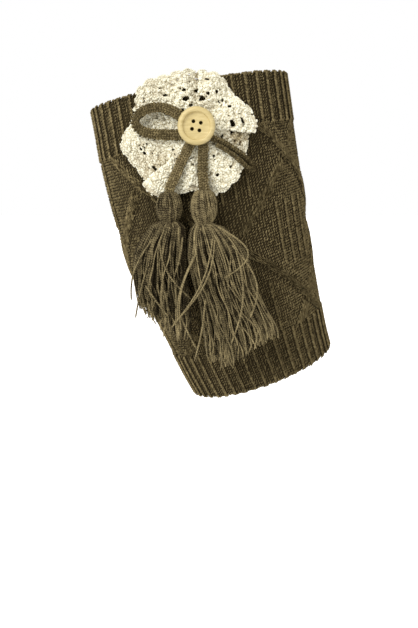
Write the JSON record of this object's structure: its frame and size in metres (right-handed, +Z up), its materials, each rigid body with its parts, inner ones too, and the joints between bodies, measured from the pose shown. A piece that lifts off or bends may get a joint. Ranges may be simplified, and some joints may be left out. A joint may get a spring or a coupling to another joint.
{
  "type": "knitted leg warmer",
  "caption": "Short ribbed and cable-knit leg warmer for the calf, worn form, with a ruffled lace rosette, wooden button, cord bow and yarn tassels.",
  "frame": {"origin": "middle of the leg where the top cuff grips it, 15 mm below the top rim along the leg", "axes": "+Z up, the leg's axis leans 15.2 degrees towards +X on its way down, and the rosette and tassels face -Y"},
  "size_m": [0.1503, 0.1347, 0.1998],
  "materials": {
    "olive_knit": "matte ribbed and cabled acrylic knit",
    "cord_knit": "matte finely knitted flat cord",
    "tassel_yarn": "matte twisted yarn",
    "cream_lace": "matte crocheted cotton lace",
    "pale_wood": "satin turned pale wood"
  },
  "bodies": {
    "root": {"top_cuff": "olive_knit", "body": "olive_knit", "bottom_cuff": "olive_knit", "lace_rosette": "cream_lace", "button": "pale_wood", "bow_loop_left": "cord_knit", "bow_loop_right": "cord_knit", "tassel_cord_left": "cord_knit", "tassel_cord_right": "cord_knit", "tassel_left": "tassel_yarn", "tassel_right": "tassel_yarn"}
  },
  "joints": []
}
